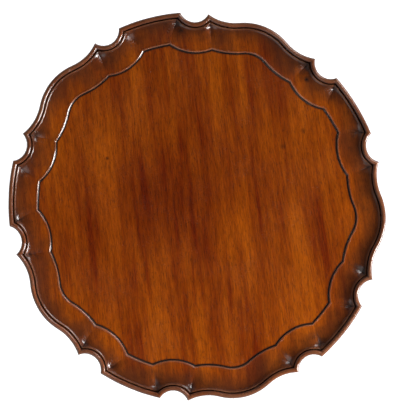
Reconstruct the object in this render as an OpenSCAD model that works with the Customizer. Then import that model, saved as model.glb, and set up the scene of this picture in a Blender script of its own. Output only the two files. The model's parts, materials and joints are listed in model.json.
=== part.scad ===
// Tilt-top tea table: a carved piecrust top on a birdcage, a turned pillar and three cabriole legs.
// The origin is on the floor under the pillar's axis, and +Z is up. +Y runs along the line of the
// pintles that the top tilts on, and it is also a line of symmetry of the carved outline.
// Every size is in millimetres.

/* [Top] */
// Height of the carved rim above the floor
table_h = 710; // [690:1:740]
// Radius that the top's plain arcs were cut to
top_r = 336; // [330:1:345]
// Width left across the grain after the board has shrunk
shrink = 0.9636; // [0.95:0.0001:1]
// Thickness of the board at its lip
board_t = 23; // [22:0.5:25]
// Thickness of the board in its flat field
field_t = 12.5; // [12:0.5:14]
// Width of the moulded rim, from the outline to the field
rim_w = 53; // [50:1:56]
// Radius of the rounded bead along the lip
lip_r = 4.3; // [4:0.1:4.6]
// Radius of the small scoop at each end of a plain arc
scoop_r = 27.5; // [26:0.5:29]
// Radius of the long hollow between a scoop and the crown
hollow_r = 79.5; // [76:0.5:82]

/* [Battens] */
// Length of each batten across the grain
batten_l = 470; // [420:2:480]
// Width of each batten
batten_w = 32; // [28:1:36]

/* [Birdcage] */
// Side of the square top and bottom blocks
block_w = 200; // [196:1:204]
// Thickness of the two blocks
block_t = 22; // [22:1:24]
// Open height between the two blocks
cage_gap = 76; // [72:1:84]
// Distance of each baluster's axis from the cage's middle, along X and along Y
baluster_at = 78; // [76:1:80]
// Radius of the pintles
pintle_r = 8; // [7:0.5:9]

/* [Pillar] */
// Radius of the drum that the legs are dovetailed into
drum_r = 36; // [35:0.5:38]
// Height of the drum's lower end above the floor
drum_z = 90; // [86:1:94]
// Radius of the stem that the cage turns on
stem_r = 19; // [18:0.5:20]
// Radius of the compressed ball
ball_r = 47; // [44:1:50]

/* [Legs] */
// Distance of each foot's middle from the pillar's axis
foot_at = 250; // [240:1:256]
// Radius of each pad foot
foot_r = 28; // [24:1:30]
// Width of a leg at its knee
knee_w = 36; // [32:1:40]
// Width of a leg at its ankle
ankle_w = 21; // [19:1:25]

/* [Catch] */
// Travel of the spring bolt
bolt_travel = 7; // [5:0.5:7]
// Width of the bolt
bolt_w = 12; // [10:0.5:12]

/* [Hidden] */
$fn = 48;

top_colour = "saddlebrown";
base_colour = "sienna";
iron_colour = "dimgray";
brass_colour = "goldenrod";
steel_colour = "silver";

// Clearances
running = 0.06;      // a shaft turning in its hole
seat = 0.05;         // a tenon in its mortise
rest_gap = 0.3;      // faces that slide over each other
eps = 0.01;

// Heights
board_z = table_h - board_t;             // underside of the board
field_z = board_z + field_t;             // the flat field
batten_t = block_t + 2;                  // as thick as the block and its clearance above and below
block_top = board_z - 1;                 // upper face of the top block
top_block_z = block_top - block_t;
bottom_block_z = top_block_z - cage_gap - block_t;
pintle_x = -(block_w - block_t) / 2;     // the pintles' line, in the rounded edge of the block
pintle_z = top_block_z + block_t / 2;

// The carved outline: five repeats, each with a plain arc, two scoops, two hollows and a crown
repeats = 5;
half_angle = 180 / repeats;
scoop_out = 10;                          // how far the scoop's centre lies outside the plain arc
scoop_angle = 14.05;
hollow_out = 67.3;
hollow_angle = 24.2;
crown_drop = 0.6;                        // how far the crown stops short of the plain arcs
hollow_c = polar(top_r + hollow_out, hollow_angle);
scoop_c = polar(top_r + scoop_out, scoop_angle);
// The crown touches the hollow smoothly and peaks crown_drop inside the plain arcs' circle
crown_reach = hollow_r + top_r - crown_drop;
crown_gap = crown_reach - (top_r + hollow_out) * cos(half_angle - hollow_angle);
crown_at = (pow(crown_reach, 2) - pow(top_r + hollow_out, 2)) / (2 * crown_gap);
crown_r = top_r - crown_drop - crown_at;
arc_steps = [2, 4, 4, 3];                // chords along the plain arc, scoop, hollow and crown

// The rim's section, as [distance in from the outline, height above the underside]
edge_chamfer = [[15, 0], [5, 2.5], [1, 9]];
lip_c = [lip_r + 0.1, board_t - lip_r];
lip_bead = [for (a = [-20, 0, 45, 90, 135, 175]) lip_c + lip_r * [-cos(a), sin(a)]];
lip_w = 2 * lip_r;
quirk = [lip_w + 0.5, board_t - 6.6];
fillet = [lip_w + 2, board_t - 4.7];
cove_start = [lip_w + 4.1, board_t - 5.3];
cove_end = [rim_w - 4.2, field_t + 1.4];
cove_steps = 4;
cove_shape = 1.55;                       // above 1 the cove drops fast and then runs out flat
cove = [for (i = [0 : cove_steps]) let (t = pow(i / cove_steps, 1.4),
        fall = pow(1 - pow(1 - t, cove_shape), 1 / cove_shape))
    [cove_start[0] + (cove_end[0] - cove_start[0]) * t,
        cove_start[1] + (cove_end[1] - cove_start[1]) * fall]];
arris = [rim_w - 3.1, field_t + 1.75];
rim_section = concat(edge_chamfer, lip_bead, [quirk, fillet], cove, [arris, [rim_w, field_t]]);

// Balusters, each with a round tenon at both ends and a wedge in its upper one
tenon_r = 8;
tenon_l = block_t - 4;                   // the lower tenon; the upper one goes through its block
wedge_h = 12;
wedge_t = 2.4;
baluster_core_r = 9.5;
baluster_swell_r = 24.5;                 // radius of the swelling's arc
baluster_swell_x = -11;                  // the arc's centre, beyond the axis
baluster_bead_r = [4, 3];                // the end bead and the lesser one beside it
baluster_bead_at = [4, 12];              // each bead's distance from the nearer block

// Battens
batten_taper = 55;                       // length of the sloping stretch at each end
batten_rise = 11;                        // how far each end is cut up from the lower face

// Pillar heights, from the drum up
drum_top = drum_z + 102;
dovetail_top = drum_top - 12;
ball_z = drum_top + 52;
ring_z = ball_z + 44;
shaft_z = ring_z + 8;
cap_z = bottom_block_z - rest_gap - 14;  // the cap carries the cage
shaft_top = cap_z - 20;
shaft_foot_r = 25.5;
shaft_head_r = 20;
shaft_steps = 8;
ball_arc_r = 34;                         // radius of the arc that the ball is turned to
neck_r = 24;                             // core of the turning between the drum and the shaft
base_bead_r = 5;
cap_r = 35;
cap_h = 14;
cap_bead_r = 5.5;
pivot_r = 13;
pivot_h = 14;

// Collar and key
collar_z = bottom_block_z + block_t + rest_gap;
collar_h = 18;
collar_r = 37;
key_l = 108;
key_t = 10;
key_h = [27, 20];                        // heights of the key's two ends
key_z = collar_z + collar_h + seat;

// Legs
leg_angles = [60, 180, 300];
leg_join_x = drum_r - 6;
leg_rings = 20;
leg_sides = 12;
leg_square = 0.72;                       // below 1 the section is squarer than an ellipse
// Curves of a leg's upper and lower edges, as [distance from the axis, height]: two arcs each
leg_upper = [[leg_join_x, drum_top - 7], [84, drum_top + 8], [112, 158], [146, 112],
    [176, 71], [190, 34], [foot_at - 12, 25]];
leg_lower = [[leg_join_x, drum_z], [74, drum_z], [98, 94], [118, 76],
    [152, 45], [172, 8], [foot_at - 8, 5]];
dovetail_l = 15;
dovetail_neck = 15;
dovetail_w = 21;

// Brace plate under the pillar
brace_t = 2.5;
brace_reach = 80;
brace_w = 17;
brace_screw_at = [12, 72];               // one into the pillar and one into each leg

// Wood screws
screw_r = 2;
screw_head_r = 4.2;
batten_screw_x = [-168, -30, 70, 168];
batten_y = block_w / 2 + 0.5 + batten_w / 2;

// Catch
catch_z = pintle_z;
bolt_h = 9;
bolt_nose_x = block_w / 2 + 2;
bolt_l = 33;
knob_x = bolt_nose_x + 23;
knob_drop = 20;
case_x = bolt_nose_x + 1;
case_l = 50;
case_wall = 2;
flange_t = 1.6;
flange_w = 42;
flange_screw_x = [case_x + 5, case_x + case_l - 6];
case_gap = 0.2;                          // clearance round the bolt in its case
spring_x = [bolt_nose_x + bolt_l + case_gap, case_x + case_l - case_wall - case_gap];
spring_r = 3.5;
wire_r = 0.4;
spring_turns = 6;
spring_steps = 12;
catch_screw = [1.2, 2.4];                // radius of the shank and of the head
keeper_screw = [1.4, 2.9];
keeper_w = 42;
keeper_h = block_t - 4;
keeper_t = 1.6;
keeper_slot_h = bolt_h + 2;
keeper_screw_y = 15;

function polar(r, a) = r * [cos(a), sin(a)];

// Where two circles cross, to the left (side 1) or right (side -1) of the line from c1 to c2
function meet(c1, r1, c2, r2, side) =
    let (v = c2 - c1, d = norm(v), along = (d * d + r1 * r1 - r2 * r2) / (2 * d),
        up = sqrt(r1 * r1 - along * along))
    c1 + along * v / d + side * up * [-v[1], v[0]] / d;

// n points along the short arc about c from p towards q, without q
function arc(c, p, q, n) =
    let (r = norm(p - c), a = atan2(p[1] - c[1], p[0] - c[0]),
        b = atan2(q[1] - c[1], q[0] - c[0]), turn = (b - a + 900) % 360 - 180)
    [for (i = [0 : n - 1]) c + polar(r, a + turn * i / n)];

// Half of one repeat at a distance d inside the outline, from the plain arc's middle to the crown
function half_repeat(d) =
    let (crown_c = polar(crown_at, half_angle), plain = polar(top_r - d, 0),
        corner = meet([0, 0], top_r - d, scoop_c, scoop_r + d, -1),
        cusp = meet(scoop_c, scoop_r + d, hollow_c, hollow_r + d, 1),
        turn = hollow_c + (crown_c - hollow_c) * (hollow_r + d) / (hollow_r + crown_r),
        crown = polar(crown_at + crown_r - d, half_angle))
    concat(arc([0, 0], plain, corner, arc_steps[0]), arc(scoop_c, corner, cusp, arc_steps[1]),
        arc(hollow_c, cusp, turn, arc_steps[2]), arc(crown_c, turn, crown, arc_steps[3]), [crown]);

function turned(p, a) = [p[0] * cos(a) - p[1] * sin(a), p[0] * sin(a) + p[1] * cos(a)];

// The whole outline, d inside its edge, narrowed across the grain
function outline(d) =
    let (half = half_repeat(d), last = len(half) - 1,
        pair = concat([for (i = [0 : last - 1]) half[i]],
            [for (i = [last : -1 : 1]) turned([half[i][0], -half[i][1]], 2 * half_angle)]))
    [for (k = [0 : repeats - 1], p = pair)
        let (q = turned(p, 90 + 2 * half_angle * k)) [shrink * q[0], q[1]]];

// Joins rings of equal length into a closed solid with a fan at each end
module loft(rings, first, last) {
    n = len(rings[0]);
    m = len(rings);
    points = concat([for (ring = rings, p = ring) p], [first, last]);
    sides = [for (j = [0 : m - 2], i = [0 : n - 1])
        let (a = j * n + i, b = j * n + (i + 1) % n, c = b + n, d = a + n) each [[a, c, b], [a, d, c]]];
    ends = [for (i = [0 : n - 1]) let (k = (i + 1) % n)
        each [[m * n, i, k], [m * n + 1, (m - 1) * n + k, (m - 1) * n + i]]];
    polyhedron(points, concat(sides, ends));
}

// Slotted countersunk screw, head down at z = 0 and pointing up
module wood_screw(length, r = screw_r, head_r = screw_head_r) {
    head_h = head_r - r;
    difference() {
        union() {
            cylinder(h = head_h, r1 = head_r, r2 = r);
            cylinder(h = length - 3 * r, r = r);
            translate([0, 0, length - 3 * r]) cylinder(h = 3 * r, r1 = r, r2 = 0.3);
        }
        translate([-head_r, -0.4, -1]) cube([2 * head_r, 0.8, 1.9]);
    }
}

module countersink(depth, r = screw_r, head_r = screw_head_r) {
    translate([0, 0, -1]) cylinder(h = depth + 2, r = r + seat);
    translate([0, 0, -eps]) cylinder(h = head_r - r, r1 = head_r + seat, r2 = r + seat);
}

module at_batten_screws(side) {
    for (x = batten_screw_x) {
        translate([x, side * batten_y, board_z - batten_t]) children();
    }
}

module top_board() {
    rings = [for (s = rim_section) [for (p = outline(s[0])) [p[0], p[1], board_z + s[1]]]];
    color(top_colour) loft(rings, [0, 0, board_z], [0, 0, field_z]);
}

module batten(side) {
    half = batten_l / 2;
    color(base_colour) difference() {
        translate([0, side * batten_y + batten_w / 2, board_z - batten_t]) rotate([90, 0, 0])
            linear_extrude(batten_w) polygon([[-half, batten_t], [-half, batten_rise],
                [batten_taper - half, 0], [half - batten_taper, 0], [half, batten_rise],
                [half, batten_t]]);
        translate([pintle_x, side * batten_y, pintle_z]) rotate([90, 0, 0])
            cylinder(h = batten_w + 2, r = pintle_r + running, center = true);
        at_batten_screws(side) countersink(batten_t);
    }
}

module batten_screws() {
    color(steel_colour) for (side = [-1, 1]) {
        at_batten_screws(side) wood_screw(batten_t + 8);
    }
}

module at_balusters(z) {
    for (x = [-1, 1], y = [-1, 1]) {
        translate([x * baluster_at, y * baluster_at, z]) children();
    }
}

// The plate's block, doubled in thickness so that half of it lies outside the wood
module keeper_blank(extra) {
    cube([2 * keeper_t, keeper_w + extra, keeper_h + extra], center = true);
}

module top_block() {
    color(base_colour) difference() {
        union() {
            translate([0, block_w / 2, top_block_z]) rotate([90, 0, 0]) linear_extrude(block_w) {
                translate([pintle_x, 0]) square([block_w / 2 - pintle_x, block_t]);
                translate([pintle_x, block_t / 2]) circle(block_t / 2);
            }
            translate([pintle_x, 0, pintle_z]) rotate([90, 0, 0])
                cylinder(h = block_w + 2 * batten_w - 2, r = pintle_r, center = true);
        }
        translate([0, 0, top_block_z - 1]) cylinder(h = pivot_h + 2, r = pivot_r + running);
        at_balusters(top_block_z - 1) cylinder(h = block_t + 2, r = tenon_r + seat);
        translate([block_w / 2, 0, catch_z]) keeper_blank(2 * seat);
        translate([block_w / 2 - 14, -bolt_w / 2 - 1, catch_z - keeper_slot_h / 2])
            cube([20, bolt_w + 2, keeper_slot_h]);
    }
}

// Square with rounded corners
module round_square(w, r) {
    square([w, w - 2 * r], center = true);
    square([w - 2 * r, w], center = true);
    for (x = [-1, 1], y = [-1, 1]) {
        translate([x, y] * (w / 2 - r)) circle(r);
    }
}

module bottom_block() {
    color(base_colour) difference() {
        translate([0, 0, bottom_block_z]) linear_extrude(block_t) round_square(block_w, 3);
        translate([0, 0, bottom_block_z - 1]) cylinder(h = block_t + 2, r = stem_r + running);
        at_balusters(bottom_block_z + block_t - tenon_l) cylinder(h = block_t, r = tenon_r + seat);
    }
}

// A baluster's turned outline between the two blocks: beads and a swelling on a plain core
module baluster_outline() {
    swell_from = baluster_bead_at[1];
    square([baluster_core_r, cage_gap]);
    for (k = [0, 1], z = [baluster_bead_at[k], cage_gap - baluster_bead_at[k]]) {
        translate([baluster_core_r - 1.5 * k, z]) circle(baluster_bead_r[k]);
    }
    intersection() {
        translate([baluster_swell_x, cage_gap / 2]) circle(baluster_swell_r);
        translate([0, swell_from]) square([20, cage_gap - 2 * swell_from]);
    }
}

module baluster(i) {
    x = [-1, 1, 1, -1][i - 1] * baluster_at;
    y = [-1, -1, 1, 1][i - 1] * baluster_at;
    color(base_colour) translate([x, y, bottom_block_z + block_t]) difference() {
        union() {
            rotate_extrude() intersection() {
                baluster_outline();
                square([30, cage_gap]);
            }
            translate([0, 0, -tenon_l]) cylinder(h = tenon_l + eps, r = tenon_r);
            translate([0, 0, cage_gap - eps]) cylinder(h = block_t + eps, r = tenon_r);
        }
        translate([-wedge_t / 2, -20, cage_gap + block_t - wedge_h]) cube([wedge_t, 40, wedge_h + 1]);
    }
}

module baluster_wedges() {
    color(top_colour) at_balusters(block_top - wedge_h) intersection() {
        translate([-wedge_t / 2, -20, 0]) cube([wedge_t, 40, wedge_h]);
        cylinder(h = wedge_h, r = tenon_r - seat);
    }
}

module collar() {
    bead = collar_h / 2;
    color(base_colour) translate([0, 0, collar_z]) rotate_extrude() {
        translate([stem_r + 0.2, 0]) square([collar_r - bead - stem_r, collar_h]);
        translate([collar_r - bead, bead]) circle(bead);
    }
}

// The key's tapered side view, grown by a clearance for its slot
module key_outline(grow) {
    polygon([[-key_l / 2, -grow], [key_l / 2, -grow], [key_l / 2, key_h[1] + grow],
        [-key_l / 2, key_h[0] + grow]]);
}

module key() {
    color(base_colour) translate([0, key_t / 2, key_z]) rotate([90, 0, 0]) linear_extrude(key_t)
        key_outline(0);
}

module dovetail(grow) {
    neck = dovetail_neck / 2 + grow;
    wide = dovetail_w / 2 + grow;
    polygon([[drum_r + 2, -neck], [drum_r + 2, neck], [drum_r - 3, neck],
        [drum_r - dovetail_l - grow, wide], [drum_r - dovetail_l - grow, -wide], [drum_r - 3, -neck]]);
}

// The plain shaft swells slightly above its foot and tapers to its head
function shaft_radius(t) =
    shaft_foot_r + (shaft_head_r - shaft_foot_r) * pow(t, 1.5) + 1.2 * sin(180 * t) * (1 - t);

module pillar_outline() {
    cove_from = shaft_top + 7;
    // Drum, base bead and neck
    translate([0, drum_z]) square([drum_r, drum_top - drum_z]);
    translate([drum_r - 1, drum_top + base_bead_r - 1]) circle(base_bead_r);
    translate([0, drum_top - 1]) square([drum_r - 1, 2 * base_bead_r]);
    translate([0, drum_top - 1]) square([neck_r + 1, 25]);
    // Compressed ball, and the ring above it
    intersection() {
        translate([ball_r - ball_arc_r, ball_z]) circle(ball_arc_r);
        translate([0, drum_top]) square([ball_r + 1, 100]);
    }
    translate([0, ball_z]) square([neck_r, shaft_z - ball_z]);
    translate([neck_r, ring_z]) circle(base_bead_r);
    translate([0, ring_z + 4]) square([neck_r + 3, 4]);
    // Shaft and the bead at its head
    polygon(concat([[0, shaft_top + 1], [0, shaft_z - 1], [shaft_foot_r, shaft_z - 1]],
        [for (i = [0 : shaft_steps]) let (t = i / shaft_steps)
            [shaft_radius(t), shaft_z + (shaft_top - shaft_z) * t]],
        [[shaft_head_r, shaft_top + 1]]));
    translate([shaft_head_r, shaft_top + 4]) circle(4.5);
    translate([0, shaft_top]) square([shaft_head_r, 8]);
    // Cove that spreads to the cap
    difference() {
        translate([0, cove_from]) square([cap_r - 1, cap_z - cove_from + 1]);
        translate([cap_r - 1.5, cove_from]) circle(cap_z - cove_from - 2);
    }
    translate([0, cap_z]) square([cap_r, cap_h]);
    translate([cap_r, cap_z + cap_h / 2]) circle(cap_bead_r);
    // Stem that the cage turns on, and the pivot that enters the top block
    translate([0, cap_z]) square([stem_r, top_block_z - rest_gap - cap_z]);
    translate([0, cap_z]) square([pivot_r, top_block_z + pivot_h - cap_z]);
}

module pillar() {
    color(base_colour) difference() {
        rotate_extrude() intersection() {
            pillar_outline();
            square([60, table_h]);
        }
        for (a = leg_angles) {
            rotate([0, 0, a]) translate([0, 0, drum_z - 1]) linear_extrude(dovetail_top - drum_z + 1)
                dovetail(seat);
        }
        translate([0, key_t / 2 + seat, key_z]) rotate([90, 0, 0]) linear_extrude(key_t + 2 * seat)
            key_outline(seat);
    }
}

function cubic(p, t) = pow(1 - t, 3) * p[0] + 3 * t * pow(1 - t, 2) * p[1]
    + 3 * t * t * (1 - t) * p[2] + pow(t, 3) * p[3];

// A point at t from 0 to 1 along two cubic arcs that share their middle point
function along_edge(p, t) = t < 0.5 ? cubic([p[0], p[1], p[2], p[3]], 2 * t)
    : cubic([p[3], p[4], p[5], p[6]], 2 * t - 1);

function bulge(x) = sign(x) * pow(abs(x), leg_square);

// A leg swells from the pillar to the knee, thins to the ankle and widens again into the foot
function leg_width(t) = t < 0.3 ? 29 + (knee_w - 29) * sin(t / 0.3 * 90)
    : t < 0.8 ? ankle_w + (knee_w - ankle_w) * pow(cos((t - 0.3) / 0.5 * 90), 1.3)
    : ankle_w + (2 * foot_r - 20 - ankle_w) * pow((t - 0.8) / 0.2, 1.6);

function leg_ring(t) =
    let (up = along_edge(leg_upper, t), low = along_edge(leg_lower, t), mid = (up + low) / 2,
        rise = (up - low) / 2, half = leg_width(t) / 2)
    [for (i = [0 : leg_sides - 1]) let (a = 360 * i / leg_sides, q = mid + rise * bulge(sin(a)))
        [q[0], half * bulge(cos(a)), q[1]]];

module pad_foot() {
    translate([foot_at, 0, 0]) rotate_extrude() intersection() {
        union() {
            square([foot_r - 8, 16]);
            translate([foot_r - 8, 12]) circle(8);
            polygon([[0, 12], [foot_r - 3.5, 18], [14, 24], [0, 27]]);
        }
        square([foot_r, 40]);
    }
}

module leg(i) {
    rings = [for (k = [0 : leg_rings]) leg_ring(k / leg_rings)];
    first = (rings[0][0] + rings[0][leg_sides / 2]) / 2;
    last = (rings[leg_rings][0] + rings[leg_rings][leg_sides / 2]) / 2;
    color(base_colour) rotate([0, 0, leg_angles[i - 1]]) {
        difference() {
            union() {
                loft(rings, first, last);
                pad_foot();
            }
            translate([0, 0, drum_z - 10]) cylinder(h = 140, r = drum_r + seat);
        }
        translate([0, 0, drum_z]) linear_extrude(dovetail_top - drum_z - 1) dovetail(0);
    }
}

module at_brace_screws() {
    for (a = leg_angles, r = brace_screw_at) {
        rotate([0, 0, a]) translate([r, 0, drum_z - brace_t]) children();
    }
}

module brace_plate() {
    color(iron_colour) difference() {
        translate([0, 0, drum_z - brace_t]) linear_extrude(brace_t) {
            circle(31);
            for (a = leg_angles) {
                rotate(a) {
                    translate([0, -brace_w / 2]) square([brace_reach, brace_w]);
                    translate([brace_reach, 0]) circle(brace_w / 2);
                }
            }
        }
        at_brace_screws() countersink(brace_t);
    }
}

module brace_screws() {
    color(iron_colour) at_brace_screws() wood_screw(22);
}

module at_catch_screws() {
    for (x = flange_screw_x, y = [-1, 1]) {
        translate([x, y * (flange_w / 2 - 5), board_z - flange_t]) children();
    }
}

module catch_case() {
    inner_w = bolt_w + 2 * case_gap;
    outer_w = inner_w + 2 * case_wall;
    floor_z = catch_z - bolt_h / 2 - case_gap;
    color(brass_colour) difference() {
        union() {
            translate([case_x, -flange_w / 2, board_z - flange_t])
                cube([case_l, flange_w, flange_t]);
            translate([case_x, -outer_w / 2, floor_z - case_wall])
                cube([case_l, outer_w, board_z - flange_t - floor_z + case_wall + eps]);
        }
        translate([case_x - 1, -inner_w / 2, floor_z])
            cube([case_l - case_wall + 1, inner_w, bolt_h + 2 * case_gap]);
        translate([knob_x - bolt_travel - 4, -3.2, floor_z - case_wall - 1])
            cube([bolt_travel + 8, 6.4, case_wall + 2]);
        at_catch_screws() countersink(flange_t, catch_screw[0], catch_screw[1]);
    }
}

module catch_screws() {
    color(brass_colour) at_catch_screws() wood_screw(9, catch_screw[0], catch_screw[1]);
}

module catch_bolt() {
    nose = 5;
    color(brass_colour) {
        translate([bolt_nose_x, bolt_w / 2, catch_z - bolt_h / 2]) rotate([90, 0, 0])
            linear_extrude(bolt_w) polygon([[0, bolt_h], [0, nose], [nose, 0], [bolt_l, 0],
                [bolt_l, bolt_h]]);
        translate([knob_x, 0, catch_z - bolt_h / 2 - knob_drop]) rotate_extrude() {
            translate([0, 6]) square([2.6, knob_drop - 5]);
            intersection() {
                union() {
                    translate([1.5, 5]) circle(5);
                    translate([0, 9.5]) square([4, 2]);
                }
                square([10, 12]);
            }
        }
    }
}

// A coil of round wire along +X between the bolt's tail and the end of its case
module catch_spring() {
    n = spring_turns * spring_steps;
    pitch = (spring_x[1] - spring_x[0] - 2 * wire_r) / spring_turns;
    rings = [for (i = [0 : n]) let (a = 360 * i / spring_steps)
        [for (k = [0 : 5]) let (b = 60 * k, r = spring_r + wire_r * cos(b))
            [spring_x[0] + wire_r + pitch * i / spring_steps + wire_r * sin(b),
                r * cos(a), catch_z + r * sin(a)]]];
    first = (rings[0][0] + rings[0][3]) / 2;
    last = (rings[n][0] + rings[n][3]) / 2;
    color(steel_colour) loft(rings, first, last);
}

module at_keeper_screws() {
    for (y = [-1, 1]) {
        translate([block_w / 2, y * keeper_screw_y, catch_z]) rotate([0, -90, 0]) children();
    }
}

module keeper_plate() {
    color(brass_colour) difference() {
        intersection() {
            translate([block_w / 2, 0, catch_z]) keeper_blank(0);
            translate([0, -block_w, 0]) cube([block_w / 2, 2 * block_w, table_h]);
        }
        translate([block_w / 2 - 10, -bolt_w / 2 - 1, catch_z - keeper_slot_h / 2])
            cube([20, bolt_w + 2, keeper_slot_h]);
        at_keeper_screws() countersink(keeper_t, keeper_screw[0], keeper_screw[1]);
    }
}

module keeper_screws() {
    color(brass_colour) at_keeper_screws() wood_screw(14, keeper_screw[0], keeper_screw[1]);
}

top_board();
batten(1);  // batten_left
batten(-1);  // batten_right
batten_screws();
top_block();
bottom_block();
baluster(1);  // baluster_1
baluster(2);  // baluster_2
baluster(3);  // baluster_3
baluster(4);  // baluster_4
baluster_wedges();
collar();
key();
pillar();
leg(1);  // leg_1
leg(2);  // leg_2
leg(3);  // leg_3
brace_plate();
brace_screws();
catch_case();
catch_bolt();
catch_spring();
catch_screws();
keeper_plate();
keeper_screws();
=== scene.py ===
"""Looks of a tilt-top tea table: a carved piecrust top, a birdcage, a turned pillar and cabriole legs.

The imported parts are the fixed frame. The top and the legs are modelled here in full. The other
parts are the frame's own shapes, with their edges eased on all but the screws and the spring.
Every finish is made from shader nodes. Lengths are in metres.
"""

import json
import math

import bmesh
import bpy
from bpy.props import FloatProperty, FloatVectorProperty, IntProperty, PointerProperty
from mathutils import Matrix, Vector, noise


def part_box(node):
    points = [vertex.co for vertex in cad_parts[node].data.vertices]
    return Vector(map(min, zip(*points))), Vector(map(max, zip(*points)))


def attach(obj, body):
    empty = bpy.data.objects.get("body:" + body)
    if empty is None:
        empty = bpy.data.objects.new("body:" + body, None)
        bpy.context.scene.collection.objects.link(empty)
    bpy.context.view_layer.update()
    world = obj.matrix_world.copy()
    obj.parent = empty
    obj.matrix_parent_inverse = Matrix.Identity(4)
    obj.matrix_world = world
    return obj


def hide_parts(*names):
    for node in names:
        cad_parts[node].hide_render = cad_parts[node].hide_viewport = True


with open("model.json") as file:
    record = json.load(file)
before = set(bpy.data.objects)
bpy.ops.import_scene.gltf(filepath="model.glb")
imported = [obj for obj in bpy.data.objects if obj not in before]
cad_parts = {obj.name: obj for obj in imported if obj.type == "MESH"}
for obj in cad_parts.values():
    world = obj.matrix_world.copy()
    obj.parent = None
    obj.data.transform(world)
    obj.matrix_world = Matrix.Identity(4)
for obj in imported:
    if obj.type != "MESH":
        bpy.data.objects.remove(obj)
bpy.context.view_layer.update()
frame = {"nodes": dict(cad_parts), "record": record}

bl_info = {
    "name": "Tilt-top tea table",
    "version": (1, 0, 0),
    "blender": (4, 5, 0),
    "location": "View3D > Sidebar > Tea Table",
    "description": "Models and finishes a piecrust tilt-top tea table around its packed parts",
    "category": "Object",
}

MM = 0.001
BOARD_LOW, BOARD_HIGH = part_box("top_board")
FIELD_Z = next(mount["pos_m"][2] for mount in frame["record"]["mounts"]
               if mount["name"] == "table_surface")
REPEATS = 5
HALF_REPEAT = math.pi / REPEATS
LEG_ANGLES = (60, 180, 300)
QUARTER = math.pi / 2
GRAIN_ALONG_X = (0, 0, QUARTER)
GRAIN_ALONG_Y = (0, 0, 0)
GRAIN_ALONG_Z = (QUARTER, 0, 0)
# Knots, dents and stains of the top: x, y, radius and darkness
OLD_MARKS = (
    (236 * MM, 166 * MM, 7 * MM, 0.9),
    (47 * MM, 302 * MM, 9 * MM, 0.8),
    (-129 * MM, 120 * MM, 5 * MM, 0.8),
    (208 * MM, 83 * MM, 7 * MM, 0.45),
    (168 * MM, 65 * MM, 8 * MM, 0.45),
)
# How deep and how far along the rim a crease between two cuts reaches
CREASE_DEPTH = 4.4 * MM
CREASE_REACH = 12 * MM
# The board is left bare up to here on its underside
BARE_HEIGHT = 5 * MM
# The darker middle of the top, its depth along Y as a share of its width, and the side that the top is
# lighter toward
HEART_PLACE = (-45 * MM, 25 * MM)
HEART_RADIUS = 250 * MM
HEART_DEPTH = 0.62
LIGHTER_TOWARD = (-0.70, -0.714, 0.0)
# Edges turned by less than flat are merged away, more than crease are shaded sharp, and more than
# sharp are rounded off
FLAT_ANGLE = math.radians(0.6)
CREASE_ANGLE = math.radians(32)
SHARP_ANGLE = math.radians(40)
MERGE_DISTANCE = 0.001 * MM
# Lines round the rim, millimetres in from the outline, and how strong: worn edges that also carry
# painted highlights on the bead, the fillet and the arris, and dirt that also carries painted shade on
# the lip's outer edge, in the quirk, under the lip and at the foot of the arris
WEAR_AND_HIGHLIGHT_LINES = ((0.75, 0.1), (1.875, 0.4), (5.3125, 0.4), (7.1875, 0.1), (10.0, 0.0), (10.5, 0.65),
              (11.25, 0.65), (12.5, 0.0), (49.0625, 0.0), (50.0, 0.6), (51.6875, 0.6), (52.0, 0.0))
DIRT_AND_SHADE_LINES = ((0.0, 0.55), (0.75, 0.3), (1.5, 0.0), (7.625, 0.0), (8.5, 0.9), (9.375, 0.9),
               (10.3125, 0.1), (12.5, 0.1), (13.25, 0.35), (22.5, 0.05), (46.25, 0.0), (51.0, 0.0),
               (51.6875, 0.96), (54.125, 0.96), (55.25, 0.25), (56.875, 0.0))
LINES_REACH = 62.5


# Sizes and colours that a user would change

class TableSizes(bpy.types.PropertyGroup):
    """Driving sizes of the carved top and the legs"""

    top_radius: FloatProperty(
        name="Top radius", description="Radius that the plain arcs were cut to",
        default=336 * MM, unit="LENGTH")
    shrink: FloatProperty(
        name="Shrinkage", description="Width left across the grain after the board has shrunk",
        default=0.9636)
    rim_width: FloatProperty(
        name="Rim width", description="From the outline in to the flat field",
        default=53 * MM, unit="LENGTH")
    lip_radius: FloatProperty(
        name="Lip radius", description="Radius of the rounded bead along the lip",
        default=4.3 * MM, unit="LENGTH")
    scoop_radius: FloatProperty(
        name="Scoop radius", description="Radius of the scoop at each end of a plain arc",
        default=27.5 * MM, unit="LENGTH")
    hollow_radius: FloatProperty(
        name="Hollow radius", description="Radius of the long hollow beside the crown",
        default=79.5 * MM, unit="LENGTH")
    drum_radius: FloatProperty(
        name="Drum radius", description="Radius of the drum that the legs join",
        default=36 * MM, unit="LENGTH")
    foot_reach: FloatProperty(
        name="Foot reach", description="From the pillar's axis to the middle of a foot",
        default=250 * MM, unit="LENGTH")
    foot_radius: FloatProperty(
        name="Foot radius", description="Radius of a pad foot",
        default=28 * MM, unit="LENGTH")
    leg_sides: IntProperty(
        name="Leg sides", description="Points round one section of a leg", default=32)
    leg_sections: IntProperty(
        name="Leg sections", description="Sections along one leg", default=64)
    eased_edge: FloatProperty(
        name="Eased edge", description="Width of the worn round on a wooden part's edges",
        default=1.1 * MM, unit="LENGTH")
    metal_edge: FloatProperty(
        name="Metal edge", description="Width of the filed round on a metal part's edges",
        default=0.3 * MM, unit="LENGTH")


def colour_property(name, description, default):
    return FloatVectorProperty(name=name, description=description, default=default,
                               size=3, subtype="COLOR", min=0, max=1)


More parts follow.
